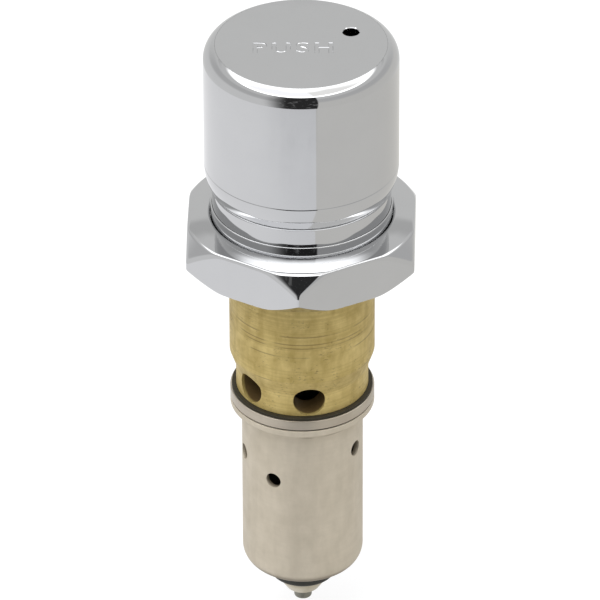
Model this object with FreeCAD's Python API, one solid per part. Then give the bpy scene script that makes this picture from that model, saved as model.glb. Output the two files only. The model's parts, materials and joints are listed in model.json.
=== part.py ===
import FreeCAD, Part
import math
import os

# Metering faucet cartridge, upright on the Z axis, in millimetres.
# Height zero is the underside of the cap nut, and the valve side points down.
# An azimuth is counted from -Y, positive towards +X.

# Push button
BUTTON_DIA = 31.75
BUTTON_SIDE = 22.0            # straight side, from the start of the taper to the top
BUTTON_EDGE_ROUND = 2.35
BUTTON_TOP_WALL = 2.0
BUTTON_OVERHANG = 1.475       # by which the side stands out past the neck
TAPER_ARC = 8.8               # radius of the convex taper between side and neck
NECK_WALL = 1.3
SHOULDER_DEPTH = 6.0          # from the top down to the inner shoulder
SHOULDER_LEDGE = 0.9
ACCESS_DIA = 2.7              # hole for the key of the stroke screw
ACCESS_RIM = 0.2
NECK_FLOOR_GAP = 0.45         # left under the neck at full stroke

# Guide collar
COLLAR_WALL = 0.47
COLLAR_FLANGE = 1.0           # thickness
COLLAR_STAND = 1.75           # height above the nut
COLLAR_EDGE = 0.12

# Cap nut
NUT_HEIGHT = 7.95
NUT_WEB = 1.75                # thickness round the opening
NUT_LEDGE = 0.75              # width of the web's seat on the collar's flange
NUT_WALL = 2.69               # from the thread bore to the middle of a flat
NUT_TOP_SLOPE = 54.0          # degrees, of the corner chamfers at the top
NUT_TOP_START = 0.8           # from the middle of a flat out to the top chamfer's start
NUT_FOOT_SLOPE = 47.0         # degrees, of the corner chamfers at the foot
NUT_FOOT_START = 0.23
NUT_CORNER_ROUND = 0.6
NUT_TURN = -1.6               # azimuth of the front corner, degrees

# Valve body
FLANGE_SEAT = 3.73            # width of the flange's underside, round the spigot
SPIGOT_LENGTH = 18.4          # below the nut's underside
SPIGOT_ABOVE = 0.45           # land left between the nut's underside and the seal groove
SEAL_GROOVE_WIDTH = 1.9
SEAL_GROOVE_DEPTH = 1.15
BODY_FLANGE = 1.15            # thickness
BOSS_WALL = 4.7
BOSS_EDGE = 0.5
SCREW_LAND = 0.2              # of the boss, outside the screw's tip
TAPER_STEP = 1.05
TAPER_HEIGHT = 3.0
LOWER_LAND = 4.1
PORT_DIA = 5.3
PORT_DROP = 1.2               # of the ports' centre below the taper
PORT_AZIMUTHS = (6.0, -52.0)  # each port is drilled right through
INSERT_LENGTH = 5.05          # of the thin end inside the sleeve
INSERT_WALL = 2.65
CHAMBER_TOP = 5.0             # roof of the water chamber below the nut's underside
SEAT_STEP = 1.55              # from the chamber's wall in to the seat's bore
SEAT_BLOCK = 2.0
SEAT_LIP_HEIGHT = 0.4
SEAT_LIP_WIDTH = 0.6

# Seals and rings of the body
GASKET_THICK = 1.0
GASKET_INNER_GAP = 0.15       # round the body's ring seal, which it is slipped over
BODY_SEAL_WIRE = 1.7          # thickness of the ring seal's section
THIN_GASKET = 0.45
THIN_GASKET_SETBACK = 0.3
RING_HEIGHT = 2.0
RING_EDGE = 0.15

# Sleeve
SLEEVE_FLANGE = 1.15          # thickness
SLEEVE_FLANGE_OVERHANG = 1.9
SLEEVE_LENGTH = 31.65         # below the flange
SLEEVE_WALL = 0.85
SLEEVE_ROOT_ROUND = 0.35
SLEEVE_FOOT_ROUND = 3.0
SLEEVE_HOLE_DIA = 2.7
SLEEVE_HOLE_DROP = 6.8        # of the first pair below the flange
SLEEVE_HOLE_PITCH = 1.9
SLEEVE_HOLE_AZIMUTH = 61.0
SLEEVE_HOLE_TURN = 45.0       # from one pair to the next
SLEEVE_HOLE_PAIRS = 3
FOOT_HOLE_DIA = 7.2

# Spindle and what it carries
STROKE = 3.0
SPINDLE_DIA = 6.0
SPINDLE_STEP = 0.6            # down to the lower shank, and again to the foot and to the top
TIP_DIA = 2.54
TIP_LENGTH = 2.7
HEAD_THICK = 5.0
HEAD_EDGE = 0.3
HEAD_SEAT_DEPTH = 2.0         # of the spindle's shoulder inside the head
SPINDLE_PAST_CLIP = 1.2       # above the head's clip
SPINDLE_TOP_EDGE = 0.3
SHANK_PAST_CLIP = 0.8         # below the piston's clip
TIP_EDGE = 0.4
SPRING_SEAT_DEPTH = 0.6
THRUST_WASHER = 0.5
THRUST_WASHER_WIDTH = 1.6
CLIP_THICK = 0.8
CLIP_GROOVE_DEPTH = 0.35
CLIP_WIDTH = 2.0
CLIP_GAP_SHARE = 1.3          # mouth of a clip over the radius that it grips
SNAP_RING_THICK = 0.9
SNAP_RING_WIDTH = 1.4
SNAP_RING_DEPTH = 0.7         # of its groove in the button
SNAP_RING_MOUTH = 5.0
SCREW_DIA = 4.0
SCREW_LENGTH = 7.8
SCREW_SETBACK = 4.1           # of its axis, inside the button's bore
SCREW_REACH = 3.0             # of its tip, below the plunger head
SCREW_AZIMUTH = 115.7
SCREW_KEY = 2.0               # across the flats of its socket
SCREW_KEY_DEPTH = 2.4
SCREW_POINT = 0.6

# Return spring and spindle seal
POCKET_DEPTH = 14.5
SPRING_WIRE = 1.3
SPRING_SIDE_GAP = 0.5
SPRING_TURNS = 7
SEAL_WASHER = 0.8
STEM_SEAL_WIRE = 2.0
STEM_SEAL_POCKET = 2.4

# Main disc, dashpot and foot
DISC_THICK = 2.1
DISC_OVERLAP = 1.0
HOLDER_RIM = 0.8
HOLDER_FLOOR = 1.8
HOLDER_LIP = 0.95             # height of the rim round the disc
HOLDER_EDGE = 0.6
SPACER_LENGTH = 7.8
SPACER_WALL = 1.2
CUP_FLOOR = 1.2
CUP_HEIGHT = 3.8
CUP_LIP = 1.1
PISTON_HEIGHT = 3.0
PISTON_EDGE = 0.4
BLEED_DIA = 0.9
BLEED_RADIUS = 5.6
FOOT_WASHER_DIA = 11.16
FOOT_WASHER_THICK = 2.9
FOOT_WASHER_ROUND = 0.5
RETAINER_DIA = 7.4
RETAINER_HEIGHT = 2.5
RETAINER_TAPER = 0.5
RETAINER_EDGE = 0.4

# Clearances
SLIDE_GAP = 0.08              # radial, where one turned piece slides or turns in another
SHAFT_GAP = 0.05              # radial, round the spindle and the screw
FACE_GAP = 0.05               # axial, where a moving face closes on a fixed one
LOOSE_GAP = 0.2               # radial, inside the nut
CUT_PAST = 1.0                # by which a cut runs past the face that it opens

# Radii worked out from the button inwards and outwards
button_r = BUTTON_DIA / 2
neck_r = button_r - BUTTON_OVERHANG
button_bore_r = neck_r - NECK_WALL
shoulder_r = button_bore_r - SHOULDER_LEDGE
head_r = button_bore_r - SLIDE_GAP
collar_bore_r = neck_r + SLIDE_GAP
collar_r = collar_bore_r + COLLAR_WALL
nut_opening_r = collar_r + SLIDE_GAP
flange_r = nut_opening_r + NUT_LEDGE
nut_bore_r = flange_r + LOOSE_GAP
nut_flat_r = nut_bore_r + NUT_WALL
nut_corner_r = nut_flat_r / math.cos(math.radians(30))

# Radii worked out from the spigot inwards
spigot_r = flange_r - FLANGE_SEAT
body_seal_r = spigot_r - SEAL_GROOVE_DEPTH + BODY_SEAL_WIRE / 2
gasket_bore_r = body_seal_r + BODY_SEAL_WIRE / 2 + GASKET_INNER_GAP
land_r = spigot_r - TAPER_STEP
sleeve_flange_r = spigot_r - SHAFT_GAP
sleeve_r = sleeve_flange_r - SLEEVE_FLANGE_OVERHANG
sleeve_bore_r = sleeve_r - SLEEVE_WALL
insert_r = sleeve_bore_r - SHAFT_GAP
chamber_r = insert_r - INSERT_WALL
seat_r = chamber_r - SEAT_STEP
disc_r = seat_r + SEAT_LIP_WIDTH + DISC_OVERLAP
holder_r = disc_r + HOLDER_RIM
cup_r = sleeve_bore_r - SLIDE_GAP
piston_r = cup_r - SLIDE_GAP

# Radii round the spindle
spindle_r = SPINDLE_DIA / 2
shank_r = spindle_r - SPINDLE_STEP
foot_r = shank_r - SPINDLE_STEP
foot_bore_r = foot_r + SHAFT_GAP
top_r = spindle_r - SPINDLE_STEP
stem_bore_r = spindle_r + SHAFT_GAP
stem_seal_r = stem_bore_r + STEM_SEAL_WIRE / 2
stem_pocket_r = stem_bore_r + STEM_SEAL_WIRE + SHAFT_GAP
screw_r = SCREW_DIA / 2
screw_circle_r = button_bore_r - SCREW_SETBACK
boss_r = screw_circle_r + screw_r + SCREW_LAND
pocket_r = boss_r - BOSS_WALL
spring_r = pocket_r - SPRING_SIDE_GAP - SPRING_WIRE / 2

# Heights above the nut's underside
nut_web_z = NUT_HEIGHT - NUT_WEB
collar_flange_z = nut_web_z - FACE_GAP
body_flange_z = collar_flange_z - COLLAR_FLANGE
gasket_top_z = body_flange_z - BODY_FLANGE
seal_groove_z = SPIGOT_ABOVE + SEAL_GROOVE_WIDTH
collar_rim_z = NUT_HEIGHT + COLLAR_STAND
neck_top_z = collar_rim_z + STROKE + FACE_GAP / 2
neck_foot_z = body_flange_z + STROKE + NECK_FLOOR_GAP
taper_height = math.sqrt(TAPER_ARC ** 2 - (TAPER_ARC - BUTTON_OVERHANG) ** 2)
side_z = neck_top_z + taper_height
button_top_z = side_z + BUTTON_SIDE
shoulder_z = button_top_z - SHOULDER_DEPTH
thrust_z = shoulder_z - FACE_GAP - THRUST_WASHER
head_z = thrust_z - HEAD_THICK
snap_ring_z = head_z - 2 * FACE_GAP - SNAP_RING_THICK
spring_top_z = head_z + SPRING_SEAT_DEPTH
screw_tip_z = head_z - SCREW_REACH
boss_top_z = screw_tip_z - STROKE - FACE_GAP
pocket_z = boss_top_z - POCKET_DEPTH
spring_foot_z = pocket_z + SEAL_WASHER
stem_pocket_z = pocket_z - STEM_SEAL_POCKET

# Heights below the nut's underside
taper_top_z = -SPIGOT_LENGTH
taper_foot_z = taper_top_z - TAPER_HEIGHT
land_foot_z = taper_foot_z - LOWER_LAND
port_z = taper_foot_z - PORT_DROP
ring_top_z = land_foot_z - THIN_GASKET
sleeve_top_z = ring_top_z - RING_HEIGHT
sleeve_flange_z = sleeve_top_z - SLEEVE_FLANGE
sleeve_foot_z = sleeve_flange_z - SLEEVE_LENGTH
insert_foot_z = sleeve_top_z - INSERT_LENGTH
seat_z = insert_foot_z - SEAT_LIP_HEIGHT
disc_top_z = seat_z - FACE_GAP
holder_floor_z = disc_top_z - DISC_THICK
spacer_top_z = holder_floor_z - HOLDER_FLOOR
cup_floor_z = spacer_top_z - SPACER_LENGTH
piston_top_z = cup_floor_z - CUP_FLOOR
piston_foot_z = piston_top_z - PISTON_HEIGHT
shank_foot_z = piston_foot_z - CLIP_THICK - SHANK_PAST_CLIP
foot_washer_z = sleeve_foot_z - FACE_GAP
retainer_z = foot_washer_z - FOOT_WASHER_THICK
tip_top_z = retainer_z - RETAINER_HEIGHT
tip_z = tip_top_z - TIP_LENGTH


def on_outline(radius, height):
    """Point of an outline, in the plane of the radius and the axis."""
    return FreeCAD.Vector(radius, 0, height)


def at_azimuth(radius, azimuth, height):
    """Point at a radius and an azimuth."""
    angle = math.radians(azimuth)
    return FreeCAD.Vector(radius * math.sin(angle), -radius * math.cos(angle), height)


def rounded_corner(before, corner, after, rounding):
    """Arc that rounds one corner of an outline."""
    to_before = (before - corner).normalize()
    to_after = (after - corner).normalize()
    half = to_before.getAngle(to_after) / 2
    reach = rounding / math.tan(half)
    middle = corner + (to_before + to_after).normalize() * (rounding / math.sin(half) - rounding)
    return Part.Arc(corner + to_before * reach, middle, corner + to_after * reach).toShape()


def outline_edges(corners):
    """Edges through corners (radius, height) or (radius, height, rounding), closed at the end."""
    points = [on_outline(corner[0], corner[1]) for corner in corners]
    count = len(points)
    arcs = {}
    for i, corner in enumerate(corners):
        if len(corner) == 3:
            arcs[i] = rounded_corner(points[i - 1], points[i], points[(i + 1) % count], corner[2])
    edges = []
    for i in range(count):
        j = (i + 1) % count
        start = arcs[i].lastVertex().Point if i in arcs else points[i]
        end = arcs[j].firstVertex().Point if j in arcs else points[j]
        if i in arcs:
            edges.append(arcs[i])
        edges.append(Part.LineSegment(start, end).toShape())
    return edges


def revolve(edges):
    """Solid turned from a closed outline."""
    face = Part.Face(Part.Wire(edges))
    return face.revolve(FreeCAD.Vector(0, 0, 0), FreeCAD.Vector(0, 0, 1), 360)


def turned(corners):
    """Solid turned from an outline of corners."""
    return revolve(outline_edges(corners))


def ring(inner, outer, low, high):
    """Plain turned ring."""
    return turned([(inner, low), (outer, low), (outer, high), (inner, high)])


def rod(radius, low, high):
    """Plain round rod on the axis."""
    return Part.makeCylinder(radius, high - low, FreeCAD.Vector(0, 0, low))


def seal_loop(radius, section, height):
    """Round ring seal with a round section."""
    return Part.makeTorus(radius, section / 2, FreeCAD.Vector(0, 0, height))


def cross_hole(diameter, height, azimuth, reach):
    """Tool for a hole drilled right through the axis."""
    start = at_azimuth(reach, azimuth, height)
    return Part.makeCylinder(diameter / 2, 2 * reach, start, at_azimuth(-1, azimuth, 0))


def hexagon(flat_radius, low, high, azimuth):
    """Hexagonal prism with a corner at the azimuth."""
    corner_radius = flat_radius / math.cos(math.radians(30))
    corners = [at_azimuth(corner_radius, azimuth + 60 * i, low) for i in range(7)]
    return Part.Face(Part.makePolygon(corners)).extrude(FreeCAD.Vector(0, 0, high - low))


def open_ring(inner, outer, low, thickness, mouth):
    """Flat ring with a straight mouth towards +Y."""
    slot = Part.makeBox(mouth, outer * 2, thickness, FreeCAD.Vector(-mouth / 2, 0, low))
    return ring(inner, outer, low, low + thickness).cut(slot)


def push_button():
    """Turned button: round edge, straight side, convex taper, neck, and a bore with a shoulder."""
    taper_middle_z = side_z - taper_height / 2
    drop = TAPER_ARC - math.sqrt(TAPER_ARC ** 2 - (taper_height / 2) ** 2)
    taper = Part.Arc(on_outline(neck_r, neck_top_z), on_outline(button_r - drop, taper_middle_z),
                     on_outline(button_r, side_z)).toShape()
    edge = rounded_corner(on_outline(button_r, side_z), on_outline(button_r, button_top_z),
                          on_outline(0, button_top_z), BUTTON_EDGE_ROUND)
    ceiling_z = button_top_z - BUTTON_TOP_WALL
    inside = [on_outline(0, button_top_z), on_outline(0, ceiling_z), on_outline(shoulder_r, ceiling_z),
              on_outline(shoulder_r, shoulder_z), on_outline(button_bore_r, shoulder_z),
              on_outline(button_bore_r, neck_foot_z), on_outline(neck_r, neck_foot_z),
              on_outline(neck_r, neck_top_z)]
    edges = [taper, Part.LineSegment(taper.lastVertex().Point, edge.firstVertex().Point).toShape(), edge]
    edges.append(Part.LineSegment(edge.lastVertex().Point, inside[0]).toShape())
    edges += [Part.LineSegment(a, b).toShape() for a, b in zip(inside, inside[1:])]
    groove = ring(button_bore_r - CUT_PAST, button_bore_r + SNAP_RING_DEPTH,
                  snap_ring_z - FACE_GAP, snap_ring_z + SNAP_RING_THICK + FACE_GAP)
    access = at_azimuth(screw_circle_r, SCREW_AZIMUTH, ceiling_z - CUT_PAST)
    hole = Part.makeCylinder(ACCESS_DIA / 2, BUTTON_TOP_WALL + 2 * CUT_PAST, access)
    rim = Part.makeCone(ACCESS_DIA / 2, ACCESS_DIA / 2 + ACCESS_RIM, ACCESS_RIM,
                        at_azimuth(screw_circle_r, SCREW_AZIMUTH, button_top_z - ACCESS_RIM))
    return revolve(edges).cut(groove).cut(hole).cut(rim)


def button_snap_ring():
    """Open ring sprung into the button's groove under the plunger head."""
    outer = button_bore_r + SNAP_RING_DEPTH - FACE_GAP
    return open_ring(outer - SNAP_RING_WIDTH, outer, snap_ring_z, SNAP_RING_THICK, SNAP_RING_MOUTH)


def plunger_head():
    """Disc on the spindle that the button bears on, with a threaded hole for the stroke screw."""
    counterbore_z = head_z + HEAD_SEAT_DEPTH
    seat_radius = spring_r + SPRING_WIRE / 2 + SPRING_SIDE_GAP / 2
    disc = turned([
        (top_r + SHAFT_GAP, thrust_z), (top_r + SHAFT_GAP, counterbore_z), (stem_bore_r, counterbore_z),
        (stem_bore_r, spring_top_z), (seat_radius, spring_top_z), (seat_radius, head_z),
        (head_r, head_z, HEAD_EDGE), (head_r, thrust_z, HEAD_EDGE)])
    foot = at_azimuth(screw_circle_r, SCREW_AZIMUTH, head_z - CUT_PAST)
    return disc.cut(Part.makeCylinder(screw_r + SHAFT_GAP, HEAD_THICK + 2 * CUT_PAST, foot))


def thrust_washer():
    """Plastic ring between the plunger head and the button's shoulder."""
    return ring(head_r - THRUST_WASHER_WIDTH, head_r - SHAFT_GAP, thrust_z, thrust_z + THRUST_WASHER)


def clip(groove_r, low):
    """Retaining clip: an open ring that grips a groove of the spindle."""
    return open_ring(groove_r, groove_r + CLIP_WIDTH, low, CLIP_THICK, groove_r * CLIP_GAP_SHARE)


def head_clip():
    """Clip over the plunger head."""
    return clip(top_r - CLIP_GROOVE_DEPTH, thrust_z)


def piston_clip():
    """Clip under the dashpot piston."""
    return clip(shank_r - CLIP_GROOVE_DEPTH, piston_foot_z - CLIP_THICK)


def stroke_screw():
    """Socket set screw with a chamfered point, whose tip stops the stroke on the boss."""
    top_z = screw_tip_z + SCREW_LENGTH
    body = turned([(0, screw_tip_z), (screw_r - SCREW_POINT, screw_tip_z), (screw_r, screw_tip_z + SCREW_POINT),
                   (screw_r, top_z - SCREW_POINT / 2), (screw_r - SCREW_POINT / 2, top_z), (0, top_z)])
    socket = hexagon(SCREW_KEY / 2, top_z - SCREW_KEY_DEPTH, top_z + CUT_PAST, 0)
    screw = body.cut(socket)
    screw.translate(at_azimuth(screw_circle_r, SCREW_AZIMUTH, 0))
    return screw


def spindle():
    """Stepped rod from above the plunger head to the tip under the foot washer."""
    head_shoulder_z = head_z + HEAD_SEAT_DEPTH
    top_z = thrust_z + CLIP_THICK + SPINDLE_PAST_CLIP
    body = turned([
        (0, top_z), (top_r - SPINDLE_TOP_EDGE, top_z), (top_r, top_z - SPINDLE_TOP_EDGE),
        (top_r, head_shoulder_z),
        (spindle_r, head_shoulder_z), (spindle_r, disc_top_z), (shank_r, disc_top_z),
        (shank_r, shank_foot_z), (foot_r, shank_foot_z - SPINDLE_STEP),
        (foot_r, tip_top_z), (TIP_DIA / 2, tip_top_z), (TIP_DIA / 2, tip_z, TIP_EDGE), (0, tip_z)])
    for radius, low in ((top_r, thrust_z), (shank_r, piston_foot_z - CLIP_THICK)):
        body = body.cut(ring(radius - CLIP_GROOVE_DEPTH, radius + CUT_PAST, low, low + CLIP_THICK))
    return body


def return_spring():
    """Compression spring with ground ends, from the seal washer up to the plunger head."""
    height = spring_top_z - spring_foot_z
    helix = Part.makeHelix(height / SPRING_TURNS, height, spring_r)
    section = Part.Wire(Part.makeCircle(SPRING_WIRE / 2, on_outline(spring_r, 0), FreeCAD.Vector(0, 1, 0)))
    coil = Part.Wire(helix.Edges).makePipeShell([section], True, True)
    coil.translate(FreeCAD.Vector(0, 0, spring_foot_z))
    return coil.common(rod(pocket_r, spring_foot_z, spring_top_z))


def seal_washer():
    """Washer over the spindle's seal, on which the spring stands."""
    return ring(stem_bore_r + SHAFT_GAP, pocket_r - SHAFT_GAP, pocket_z, spring_foot_z)


def stem_seal():
    """Ring seal round the spindle, under the seal washer."""
    return seal_loop(stem_seal_r, STEM_SEAL_WIRE, stem_pocket_z + STEM_SEAL_POCKET / 2)


def guide_collar():
    """Thin collar on a flange, rising through the nut's opening round the button's neck."""
    return turned([
        (collar_bore_r, body_flange_z), (flange_r, body_flange_z), (flange_r, collar_flange_z),
        (collar_r, collar_flange_z), (collar_r, collar_rim_z, COLLAR_EDGE), (collar_bore_r, collar_rim_z)])


def hex_cap_nut():
    """Hexagon nut with chamfered corners, a thread bore and a web that clamps the collar's flange."""
    foot_r, top_r = nut_flat_r + NUT_FOOT_START, nut_flat_r + NUT_TOP_START
    rise = (nut_corner_r - foot_r) * math.tan(math.radians(NUT_FOOT_SLOPE))
    drop = (nut_corner_r - top_r) * math.tan(math.radians(NUT_TOP_SLOPE))
    envelope = turned([
        (nut_opening_r, nut_web_z), (nut_bore_r, nut_web_z), (nut_bore_r, 0), (foot_r, 0),
        (nut_corner_r, rise), (nut_corner_r, NUT_HEIGHT - drop), (top_r, NUT_HEIGHT),
        (nut_opening_r, NUT_HEIGHT)])
    prism = hexagon(nut_flat_r, 0, NUT_HEIGHT, NUT_TURN)
    corners = [edge for edge in prism.Edges if edge.BoundBox.ZLength > NUT_HEIGHT / 2]
    return envelope.common(prism.makeFillet(NUT_CORNER_ROUND, corners))


def valve_body():
    """Turned brass body: boss with the spring pocket, flange, spigot, ports and the seat's thin end."""
    roof_z = -CHAMBER_TOP
    seat_block_z = insert_foot_z + SEAT_BLOCK
    body = turned([
        (stem_bore_r, roof_z), (stem_bore_r, stem_pocket_z), (stem_pocket_r, stem_pocket_z),
        (stem_pocket_r, pocket_z), (pocket_r, pocket_z), (pocket_r, boss_top_z), (boss_r, boss_top_z, BOSS_EDGE),
        (boss_r, body_flange_z), (flange_r - FACE_GAP, body_flange_z), (flange_r - FACE_GAP, gasket_top_z),
        (spigot_r, gasket_top_z), (spigot_r, seal_groove_z), (spigot_r - SEAL_GROOVE_DEPTH, seal_groove_z),
        (spigot_r - SEAL_GROOVE_DEPTH, SPIGOT_ABOVE), (spigot_r, SPIGOT_ABOVE), (spigot_r, taper_top_z),
        (land_r, taper_foot_z), (land_r, land_foot_z), (insert_r, land_foot_z), (insert_r, insert_foot_z),
        (seat_r + SEAT_LIP_WIDTH, insert_foot_z), (seat_r + SEAT_LIP_WIDTH / 2, seat_z),
        (seat_r, seat_z), (seat_r, seat_block_z), (chamber_r, seat_block_z), (chamber_r, roof_z)])
    for azimuth in PORT_AZIMUTHS:
        body = body.cut(cross_hole(PORT_DIA, port_z, azimuth, spigot_r + CUT_PAST))
    return body


def neck_gasket():
    """Flat gasket under the body's flange."""
    return ring(gasket_bore_r, flange_r - LOOSE_GAP, gasket_top_z - GASKET_THICK, gasket_top_z)


def body_o_ring():
    """Ring seal in the groove over the spigot."""
    return seal_loop(body_seal_r, BODY_SEAL_WIRE, SPIGOT_ABOVE + SEAL_GROOVE_WIDTH / 2)


def ring_gasket():
    """Thin dark gasket between the brass shoulder and the metal ring."""
    return ring(sleeve_bore_r, sleeve_flange_r - THIN_GASKET_SETBACK, ring_top_z, land_foot_z)


def seal_ring():
    """Metal ring between the gasket and the sleeve's flange."""
    return turned([
        (sleeve_bore_r, sleeve_top_z), (sleeve_flange_r, sleeve_top_z, RING_EDGE),
        (sleeve_flange_r, ring_top_z, RING_EDGE), (sleeve_bore_r, ring_top_z)])


def sleeve():
    """Drawn sleeve: flange, thin wall, round foot with its hole, and pairs of cross holes."""
    inner_round = SLEEVE_FOOT_ROUND - SLEEVE_WALL
    floor_z = sleeve_foot_z + SLEEVE_WALL
    shell = turned([
        (sleeve_bore_r, sleeve_top_z), (sleeve_bore_r, floor_z, inner_round), (FOOT_HOLE_DIA / 2, floor_z),
        (FOOT_HOLE_DIA / 2, sleeve_foot_z), (sleeve_r, sleeve_foot_z, SLEEVE_FOOT_ROUND),
        (sleeve_r, sleeve_flange_z, SLEEVE_ROOT_ROUND), (sleeve_flange_r, sleeve_flange_z, RING_EDGE),
        (sleeve_flange_r, sleeve_top_z, RING_EDGE)])
    for i in range(SLEEVE_HOLE_PAIRS):
        height = sleeve_flange_z - SLEEVE_HOLE_DROP - i * SLEEVE_HOLE_PITCH
        azimuth = SLEEVE_HOLE_AZIMUTH + i * SLEEVE_HOLE_TURN
        shell = shell.cut(cross_hole(SLEEVE_HOLE_DIA, height, azimuth, sleeve_flange_r))
    return shell


def valve_disc():
    """Rubber disc that closes on the seat."""
    return ring(shank_r + SHAFT_GAP, disc_r, holder_floor_z, disc_top_z)


def disc_holder():
    """Cup that holds the rubber disc from below."""
    rim_z = holder_floor_z + HOLDER_LIP
    return turned([
        (shank_r + SHAFT_GAP, spacer_top_z), (holder_r, spacer_top_z, HOLDER_EDGE), (holder_r, rim_z),
        (disc_r + SHAFT_GAP, rim_z), (disc_r + SHAFT_GAP, holder_floor_z), (shank_r + SHAFT_GAP, holder_floor_z)])


def spacer_tube():
    """Tube that keeps the disc holder and the cup seal apart."""
    inner = shank_r + SHAFT_GAP
    return ring(inner, inner + SPACER_WALL, cup_floor_z, spacer_top_z)


def bleed_hole():
    """Tool for the small hole that meters the water back under the piston."""
    foot = at_azimuth(BLEED_RADIUS, 0, piston_foot_z - CUT_PAST)
    return Part.makeCylinder(BLEED_DIA / 2, piston_top_z + CUP_HEIGHT - foot.z, foot)


def cup_seal():
    """Rubber cup, open upwards, on top of the piston."""
    rim_z = piston_top_z + CUP_HEIGHT
    cup = turned([
        (shank_r + SHAFT_GAP, piston_top_z), (cup_r - CUP_LIP / 2, piston_top_z), (cup_r, piston_top_z + CUP_LIP),
        (cup_r, rim_z), (cup_r - CUP_LIP / 2, rim_z), (cup_r - CUP_LIP, cup_floor_z),
        (shank_r + SHAFT_GAP, cup_floor_z)])
    return cup.cut(bleed_hole())


def piston():
    """Dashpot piston with its bleed hole."""
    body = turned([
        (shank_r + SHAFT_GAP, piston_foot_z), (piston_r, piston_foot_z, PISTON_EDGE),
        (piston_r, piston_top_z, PISTON_EDGE), (shank_r + SHAFT_GAP, piston_top_z)])
    return body.cut(bleed_hole())


def foot_washer():
    """Rubber washer that closes the hole in the sleeve's foot."""
    outer = FOOT_WASHER_DIA / 2
    return turned([
        (foot_bore_r, retainer_z), (outer, retainer_z, FOOT_WASHER_ROUND),
        (outer, foot_washer_z, FOOT_WASHER_ROUND), (foot_bore_r, foot_washer_z)])


def washer_retainer():
    """Small tapered nut that holds the foot washer on the spindle."""
    outer = RETAINER_DIA / 2
    return turned([
        (foot_bore_r, tip_top_z), (outer - RETAINER_TAPER, tip_top_z, RETAINER_EDGE),
        (outer, retainer_z - RETAINER_TAPER), (outer, retainer_z), (foot_bore_r, retainer_z)])


NODES = (
    push_button, button_snap_ring, plunger_head, thrust_washer, head_clip, stroke_screw, spindle, return_spring,
    seal_washer, stem_seal, guide_collar, hex_cap_nut, valve_body, neck_gasket, body_o_ring, ring_gasket,
    seal_ring, sleeve, valve_disc, disc_holder, spacer_tube, cup_seal, piston, piston_clip, foot_washer,
    washer_retainer)


def main():
    """Builds every piece and writes it to its own file."""
    os.makedirs("parts", exist_ok=True)
    for make in NODES:
        shape = make()
        shape.exportStep("parts/" + make.__name__ + ".step")
        box = shape.BoundBox
        print(f"{make.__name__:18s} solids {len(shape.Solids)} valid {shape.isValid()} "
              f"volume {shape.Volume:9.1f} z {box.ZMin:7.2f} to {box.ZMax:6.2f} r {box.XMax:6.2f}")


main()
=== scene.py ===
"""Metering faucet cartridge: its visible pieces, finishes, light and camera."""

import json
import logging
import math
from collections.abc import Callable, Iterable, Sequence
from dataclasses import dataclass
from enum import Enum

import bpy
import numpy as np
from mathutils import Matrix, Vector

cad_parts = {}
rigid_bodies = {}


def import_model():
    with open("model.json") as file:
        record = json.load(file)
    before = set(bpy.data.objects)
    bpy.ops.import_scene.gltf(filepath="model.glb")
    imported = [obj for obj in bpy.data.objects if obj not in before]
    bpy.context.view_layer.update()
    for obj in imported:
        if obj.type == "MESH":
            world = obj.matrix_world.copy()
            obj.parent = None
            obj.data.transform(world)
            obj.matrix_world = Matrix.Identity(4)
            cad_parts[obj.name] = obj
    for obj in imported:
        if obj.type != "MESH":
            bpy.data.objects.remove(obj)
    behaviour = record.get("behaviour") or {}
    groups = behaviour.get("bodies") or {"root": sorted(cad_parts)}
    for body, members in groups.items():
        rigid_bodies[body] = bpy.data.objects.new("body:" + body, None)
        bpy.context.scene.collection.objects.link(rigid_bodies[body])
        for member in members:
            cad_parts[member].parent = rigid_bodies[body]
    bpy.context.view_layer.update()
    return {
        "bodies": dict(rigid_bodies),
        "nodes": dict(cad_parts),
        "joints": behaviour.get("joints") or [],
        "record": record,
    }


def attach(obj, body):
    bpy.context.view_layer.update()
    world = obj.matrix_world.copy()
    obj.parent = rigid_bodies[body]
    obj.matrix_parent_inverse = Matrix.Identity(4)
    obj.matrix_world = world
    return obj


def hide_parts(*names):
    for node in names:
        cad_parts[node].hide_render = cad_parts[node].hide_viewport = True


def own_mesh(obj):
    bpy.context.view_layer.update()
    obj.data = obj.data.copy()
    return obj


log = logging.getLogger("cartridge")

MM = 0.001
ARC_STEP = 7.5  # degrees of an arc between two points of an outline
SUPPORT = 0.05  # millimetres from an arc to the point that keeps the straight beside it flat
SHARP = math.radians(14)

Colour = tuple[float, float, float]
Socket = bpy.types.NodeSocket
Piece = bpy.types.Object


class Body(Enum):
    """Bodies that a piece can ride on."""

    VALVE = "valve"
    NUT = "nut"
    PLUNGER = "plunger"
    BUTTON = "button"
    SCREW = "screw"


class Slot(Enum):
    """Material slots of the record."""

    CHROME = "polished_chrome"
    BRASS = "turned_brass"
    RING = "ring_nickel"
    SLEEVE = "sleeve_steel"
    RETAINER = "retainer_nickel"
    STAINLESS = "stainless_steel"
    SPRING = "spring_steel"
    RUBBER = "black_rubber"
    FIBRE = "dark_fibre"
    PLASTIC = "white_plastic"


# Modelling helpers


@dataclass(frozen=True)
class Corner:
    """Corner of a turned outline, in millimetres, with the radius that rounds it."""

    radius: float
    height: float
    rounding: float = 0.0


def at_azimuth(radius: float, azimuth: float, height: float) -> Vector:
    """Finds a point by its place round the axis.

    Args:
        radius: Distance from the axis, in millimetres.
        azimuth: Degrees from -Y, positive towards +X.
        height: Height above the nut's underside, in millimetres.

    Returns:
        The point, in metres.
    """
    angle = math.radians(azimuth)
    return Vector((radius * math.sin(angle), -radius * math.cos(angle), height)) * MM


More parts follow.
